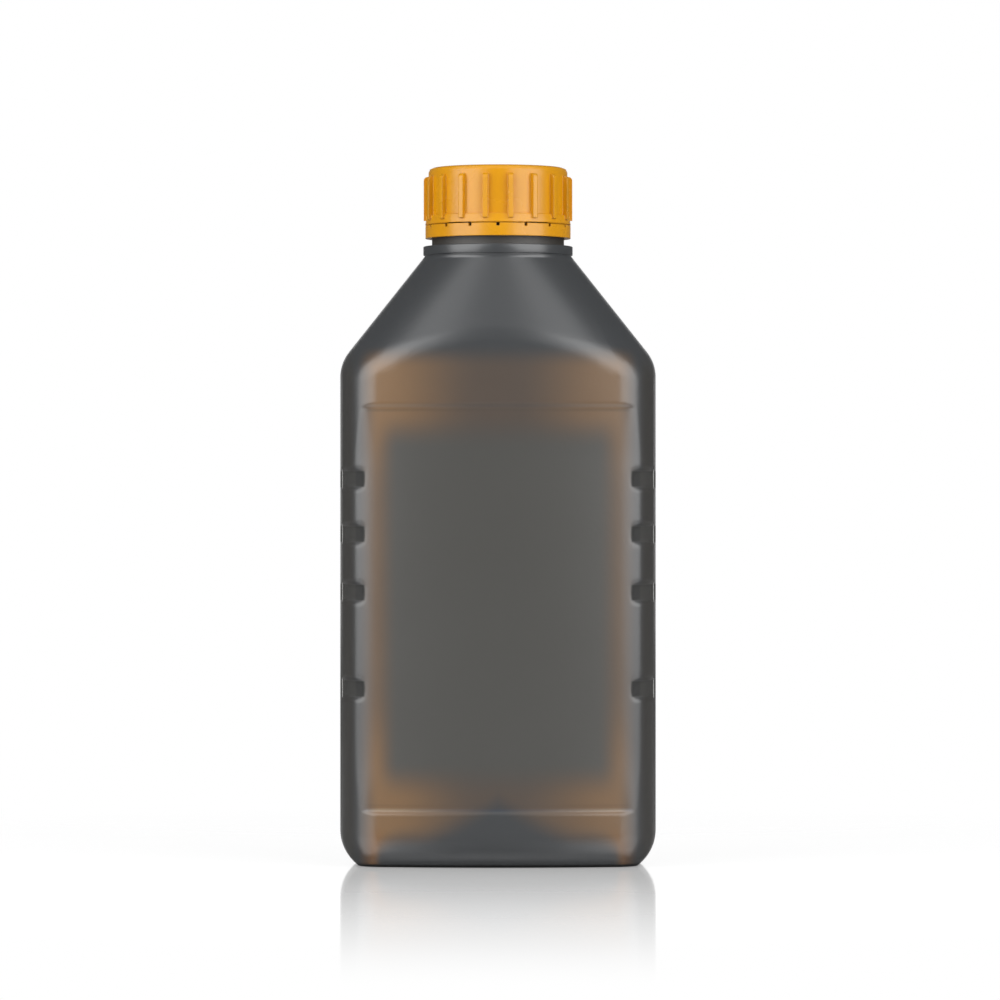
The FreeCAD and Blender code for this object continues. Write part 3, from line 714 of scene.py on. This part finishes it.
def surface_reach(turn, z, inset):
    """Distance from the upright axis to the bottle's surface, drawn in by the inset."""
    low, high = np.full_like(z, 5.0), np.full_like(z, 75.0)
    for _ in range(24):
        middle = (low + high) / 2
        out = bottle_gap(middle * np.cos(turn), middle * np.sin(turn), z) > -inset
        low, high = np.where(out, low, middle), np.where(out, middle, high)
    return (low + high) / 2


def spread(*stops):
    """Rising numbers through the stops, each with the step up to the next."""
    numbers = []
    for (start, step), (end, _) in zip(stops, stops[1:]):
        count = max(1, round((end - start) / step))
        numbers += [start + (end - start) * place / count for place in range(count)]
    return numbers + [stops[-1][0]]


def softened(corners, radius):
    """The corners of a turned profile, each cut into three close points."""
    points = [corners[0]]
    for before, corner, after in zip(corners, corners[1:], corners[2:]):
        before, corner, after = (np.array(spot, float) for spot in (before, corner, after))
        back, ahead = before - corner, after - corner
        near = min(radius, 0.45 * np.linalg.norm(back), 0.45 * np.linalg.norm(ahead))
        first = corner + back / np.linalg.norm(back) * near
        last = corner + ahead / np.linalg.norm(ahead) * near
        points += [tuple(first), tuple(corner * 0.58 + (first + last) * 0.21), tuple(last)]
    return points + [corners[-1]]


def arch(half, height, across):
    """Height of a round arch at a distance from its middle."""
    radius = (half ** 2 + height ** 2) / (2 * height)
    return np.sqrt(np.maximum(radius ** 2 - across ** 2, 0)) - (radius - height)


def turns_round():
    """Angles round the bottle, close together at the grip corners."""
    low, high = math.atan2(18, 51.4) - 0.02, math.atan2(33.3, 43.1) + 0.02
    quarter = spread((0, math.radians(2.6)), (low, 0.0095), (high, math.radians(3.4)), (math.pi / 2, 1))
    half = np.array(quarter[:-1] + [math.pi - turn for turn in reversed(quarter[1:])])
    return np.concatenate([half, half + math.pi, [math.tau]])


def bottle_rows():
    """Rows of points round the bottle: under the foot, up the outside, down the bore and the inside."""
    turns = turns_round()
    rows = []

    def ring(radius, z):
        reach = np.full_like(turns, radius) if np.isscalar(radius) else radius
        rows.append(np.stack([reach * np.cos(turns), reach * np.sin(turns), np.broadcast_to(z, turns.shape)], 1))

    def underside(reach, lift):
        hollow = np.minimum(arch(HOLLOW_LENGTH, HOLLOW_RISE, reach * np.cos(turns)),
                            arch(HOLLOW_WIDTH, HOLLOW_RISE, reach * np.sin(turns)))
        return soft_max(hollow, np.zeros_like(hollow), HOLLOW_BLEND) + lift

    foot = surface_reach(turns, np.zeros_like(turns), 0)
    for share in spread((0, 0.035), (0.96, 1)):
        ring(foot * share, underside(foot * share, 0))
    grips = [row for height in GRIP_HEIGHTS
             for row in ((height - GRIP_ROWS, GRIP_STEP), (height + GRIP_ROWS, OPEN_STEP))]
    for height in spread(*LOW_ROWS, *grips, *HIGH_ROWS):
        ring(surface_reach(turns, np.full_like(turns, height), 0), height)
    profile = [(SHOULDER_TOP[0], SHOULDER_HIGH), (COLLAR_RADIUS, SHOULDER_HIGH), (COLLAR_RADIUS, COLLAR_HIGH),
               (NECK_RADIUS, COLLAR_HIGH), (NECK_RADIUS, BEAD_LOW), (BEAD_RADIUS, BEAD_LOW), (BEAD_RADIUS, BEAD_HIGH),
               (FINISH_RADIUS, FINISH_LOW), (FINISH_RADIUS, RIM), (BORE_RADIUS, RIM), (BORE_RADIUS, BORE_LOW),
               (20.3, 200.5)]
    for radius, height in softened(profile, 0.3)[1:]:
        ring(radius, height)
    for height in spread(*INSIDE_ROWS):
        ring(surface_reach(turns, np.full_like(turns, -height), WALL), -height)
    for share in spread((0, 0.1), (0.95, 1))[::-1]:
        ring(foot * share * 0.97, underside(foot * share, WALL))
    return np.array(rows)


class OILBOTTLE_OT_wall(bpy.types.Operator):
    """Models the blow moulded bottle with soft edges and gives it its smoked wall"""
    bl_idname = "oilbottle.wall"
    bl_label = "Bottle Wall"

    def execute(self, context):
        rows = bottle_rows()
        count, around = rows.shape[:2]
        clear_selection()
        bpy.ops.mesh.primitive_grid_add(x_subdivisions=around - 1, y_subdivisions=count - 1, size=2)
        shell = context.object
        shell.name = shell.data.name = "bottle_shell"
        spots = np.empty(len(shell.data.vertices) * 3)
        shell.data.vertices.foreach_get("co", spots)
        spots = spots.reshape(-1, 3)
        across = np.rint((spots[:, 0] + 1) / 2 * (around - 1)).astype(int)
        up = np.rint((spots[:, 1] + 1) / 2 * (count - 1)).astype(int)
        placed = rows[up, across] * MM
        placed = np.clip(placed, np.array(BOTTLE_LOW), np.array(BOTTLE_HIGH))
        shell.data.vertices.foreach_set("co", placed.ravel())
        shell.data.update()
        take(shell)
        bpy.ops.object.mode_set(mode="EDIT")
        bpy.ops.mesh.select_all(action="SELECT")
        bpy.ops.mesh.remove_doubles(threshold=1e-6)
        bpy.ops.mesh.normals_make_consistent(inside=False)
        bpy.ops.object.mode_set(mode="OBJECT")
        bpy.ops.object.shade_smooth()
        dress(shell, smoked_wall())
        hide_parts("bottle")
        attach(shell, "bottle")
        return {"FINISHED"}


class OILBOTTLE_OT_neck_thread(bpy.types.Operator):
    """Winds the thread on the neck"""
    bl_idname = "oilbottle.neck_thread"
    bl_label = "Neck Thread"

    def execute(self, context):
        sizes = context.scene.oil_bottle
        thread = screw_thread("neck_thread", sizes.thread_root, sizes.thread_crest, CAP_LOW.z + NECK_THREAD_RISE,
                              sizes.thread_pitch, sizes.thread_turns, "bottle")
        dress(thread, smoked_wall())
        return {"FINISHED"}


class OILBOTTLE_OT_base_weld(bpy.types.Operator):
    """Lays the weld of the mould's two halves across the hollow under the foot"""
    bl_idname = "oilbottle.base_weld"
    bl_label = "Base Weld"

    def execute(self, context):
        sizes = context.scene.oil_bottle
        clear_selection()
        bpy.ops.mesh.primitive_cube_add(size=1, location=(0, 0, 0))
        weld = context.object
        weld.name = weld.data.name = "base_weld"
        weld.scale = (64 * MM, sizes.seam_width, 0.9 * MM)
        settle(weld)
        bpy.ops.object.mode_set(mode="EDIT")
        bpy.ops.mesh.select_all(action="SELECT")
        bpy.ops.mesh.subdivide(number_cuts=7)
        bpy.ops.object.mode_set(mode="OBJECT")
        for vertex in weld.data.vertices:
            vertex.co.z += arch(HOLLOW_LENGTH * MM, HOLLOW_RISE * MM, vertex.co.x)
        round_off = weld.modifiers.new("Round", "BEVEL")
        round_off.width = 0.3 * MM
        round_off.segments = 2
        round_off.limit_method = "ANGLE"
        bpy.ops.object.modifier_apply(modifier=round_off.name)
        bpy.ops.object.shade_smooth_by_angle(angle=math.radians(40))
        dress(weld, smoked_wall())
        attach(weld, "bottle")
        return {"FINISHED"}


class OILBOTTLE_OT_cap(bpy.types.Operator):
    """Gives the cap and the tamper ring their orange plastic and winds the thread in the cap"""
    bl_idname = "oilbottle.cap"
    bl_label = "Cap and Tamper Ring"

    def execute(self, context):
        sizes = context.scene.oil_cap
        pitch = context.scene.oil_bottle.thread_pitch
        dress(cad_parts["cap"], orange_plastic())
        dress(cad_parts["tamper_ring"], orange_plastic())
        thread = screw_thread("cap_thread", sizes.thread_root, sizes.thread_crest, CAP_LOW.z + CAP_THREAD_RISE,
                              pitch, sizes.thread_turns, "cap")
        dress(thread, orange_plastic())
        score = score_line(CAP_LOW.z, sizes.score_radius)
        dress(score, orange_plastic())
        return {"FINISHED"}


class OILBOTTLE_OT_inner_pieces(bpy.types.Operator):
    """Gives the liner, the label and the oil their finishes"""
    bl_idname = "oilbottle.inner_pieces"
    bl_label = "Liner, Label and Oil"

    def execute(self, context):
        dress(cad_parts["cap_liner"], foam_liner())
        dress(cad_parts["back_label"], label_film())
        dress(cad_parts["oil"], motor_oil())
        return {"FINISHED"}


# Stage

def floor_material():
    """White glossy board whose mirror image dies away in front of the bottle."""
    sizes = bpy.context.scene.oil_stage
    material, tree, shader, surface = new_material("Studio floor")
    x, y, _ = split(tree, object_place(tree))
    shader.inputs["Roughness"].default_value = 0.6
    shader.inputs["Specular IOR Level"].default_value = 0.0
    seen = tree.nodes.new("ShaderNodeLightPath").outputs["Is Camera Ray"]
    tree.links.new(blend_colour(tree, seen, (0.4, 0.4, 0.4, 1), (0.9, 0.9, 0.9, 1)), shader.inputs["Base Color"])
    board = mix_shader(tree, product(tree, seen, 0.6), shader.outputs[0], emission(tree, sizes.floor_lift))
    far = fade(tree, from_axis(tree, x, y), 0.1, 0.36)
    open_floor = mix_shader(tree, product(tree, far, seen), board, emission(tree))
    mirror = tree.nodes.new("ShaderNodeBsdfGlossy")
    mirror.inputs["Roughness"].default_value = 0.07
    mirror.inputs["Color"].default_value = (1, 1, 1, 1)
    near = product(tree, fade(tree, y, -0.48, -0.02), fade(tree, y, 0.3, 0.1))
    tree.links.new(mix_shader(tree, product(tree, near, 0.6), open_floor, mirror.outputs[0]), surface)
    return material


def backdrop_material():
    """White paper behind the bottle, as bright as the picture's background."""
    material, tree, shader, surface = new_material("Backdrop")
    tree.links.new(emission(tree), surface)
    tree.nodes.remove(shader)
    return material


def soft_box(name, azimuth, distance, height, width, tall, power):
    """One upright soft box that faces the bottle."""
    turn = math.radians(azimuth)
    spot = Vector((distance * math.sin(turn), -distance * math.cos(turn), height))
    bpy.ops.object.light_add(type="AREA", location=spot)
    lamp = bpy.context.object
    lamp.name = lamp.data.name = name
    lamp.data.shape = "RECTANGLE"
    lamp.data.size = width
    lamp.data.size_y = tall
    lamp.data.energy = power
    lamp.rotation_euler = (LAMP_AIM - spot).to_track_quat("-Z", "Y").to_euler()
    return lamp


class OILBOTTLE_OT_stage(bpy.types.Operator):
    """Sets the floor, the pale surroundings, the soft boxes and the camera"""
    bl_idname = "oilbottle.stage"
    bl_label = "Studio Stage"

    def execute(self, context):
        sizes = context.scene.oil_stage
        clear_selection()
        bpy.ops.mesh.primitive_grid_add(x_subdivisions=4, y_subdivisions=4, size=8, location=(0, 0, -0.0002))
        floor = context.object
        floor.name = floor.data.name = "studio_floor"
        settle(floor)
        dress(floor, floor_material())
        bpy.ops.mesh.primitive_plane_add(size=1, location=(0, 3.2, 0.5), rotation=(math.radians(90), 0, 0))
        backdrop = context.object
        backdrop.name = backdrop.data.name = "backdrop"
        backdrop.scale = (1.5, 1.0, 1)
        settle(backdrop)
        dress(backdrop, backdrop_material())
        world = bpy.data.worlds.new("Pale surroundings")
        context.scene.world = world
        world.use_nodes = True
        tree = world.node_tree
        tree.nodes.clear()
        light = tree.nodes.new("ShaderNodeLightPath")
        seen = calc(tree, "MAXIMUM", light.outputs["Is Camera Ray"], light.outputs["Is Transmission Ray"])
        gloss = calc(tree, "MULTIPLY", light.outputs["Is Glossy Ray"], sizes.mirrored_surround - sizes.surround)
        strength = calc(tree, "ADD", calc(tree, "ADD", gloss, sizes.surround), seen, clamp=True)
        paper = tree.nodes.new("ShaderNodeBackground")
        tree.links.new(blend_colour(tree, seen, (0.97, 0.985, 1, 1), (1, 1, 1, 1)), paper.inputs["Color"])
        tree.links.new(strength, paper.inputs["Strength"])
        output = tree.nodes.new("ShaderNodeOutputWorld")
        tree.links.new(paper.outputs[0], output.inputs["Surface"])
        for *placing, setting, share in LAMPS:
            soft_box(*placing, getattr(sizes, setting) * share)
        bpy.ops.object.camera_add(location=(0, -sizes.camera_distance, sizes.camera_height),
                                  rotation=(math.radians(90), 0, 0))
        camera = context.object
        camera.data.sensor_width = 36
        camera.data.lens = 36 * sizes.camera_distance / sizes.view_width
        camera.data.shift_x = 0.002
        camera.data.shift_y = 0.01
        camera.data.clip_end = 20
        context.scene.camera = camera
        context.scene.view_settings.view_transform = "Standard"
        return {"FINISHED"}


class OILBOTTLE_PT_sidebar(bpy.types.Panel):
    """Lists the bottle's sizes, colours and steps"""
    bl_idname = "OILBOTTLE_PT_sidebar"
    bl_label = "Oil Bottle"
    bl_space_type = "VIEW_3D"
    bl_region_type = "UI"
    bl_category = "Oil Bottle"

    def draw(self, context):
        for group in (context.scene.oil_bottle, context.scene.oil_cap, context.scene.oil_stage):
            box = self.layout.box()
            for name in group.bl_rna.properties.keys():
                if name not in ("rna_type", "name"):
                    box.prop(group, name)
        for operator in OPERATORS:
            self.layout.operator(operator.bl_idname)


OPERATORS = (OILBOTTLE_OT_wall, OILBOTTLE_OT_neck_thread, OILBOTTLE_OT_base_weld, OILBOTTLE_OT_cap,
             OILBOTTLE_OT_inner_pieces, OILBOTTLE_OT_stage)
CLASSES = (BottleSettings, CapSettings, StageSettings, *OPERATORS, OILBOTTLE_PT_sidebar)


def register():
    """Adds the classes and the three groups of settings to the scene."""
    for item in CLASSES:
        bpy.utils.register_class(item)
    bpy.types.Scene.oil_bottle = bpy.props.PointerProperty(type=BottleSettings)
    bpy.types.Scene.oil_cap = bpy.props.PointerProperty(type=CapSettings)
    bpy.types.Scene.oil_stage = bpy.props.PointerProperty(type=StageSettings)


def unregister():
    """Takes them away again."""
    del bpy.types.Scene.oil_stage
    del bpy.types.Scene.oil_cap
    del bpy.types.Scene.oil_bottle
    for item in reversed(CLASSES):
        bpy.utils.unregister_class(item)


def main():
    """Makes every piece and the stage."""
    register()
    bpy.ops.oilbottle.wall()
    bpy.ops.oilbottle.neck_thread()
    bpy.ops.oilbottle.base_weld()
    bpy.ops.oilbottle.cap()
    bpy.ops.oilbottle.inner_pieces()
    bpy.ops.oilbottle.stage()
    bpy.context.view_layer.update()


if __name__ == "__main__":
    main()
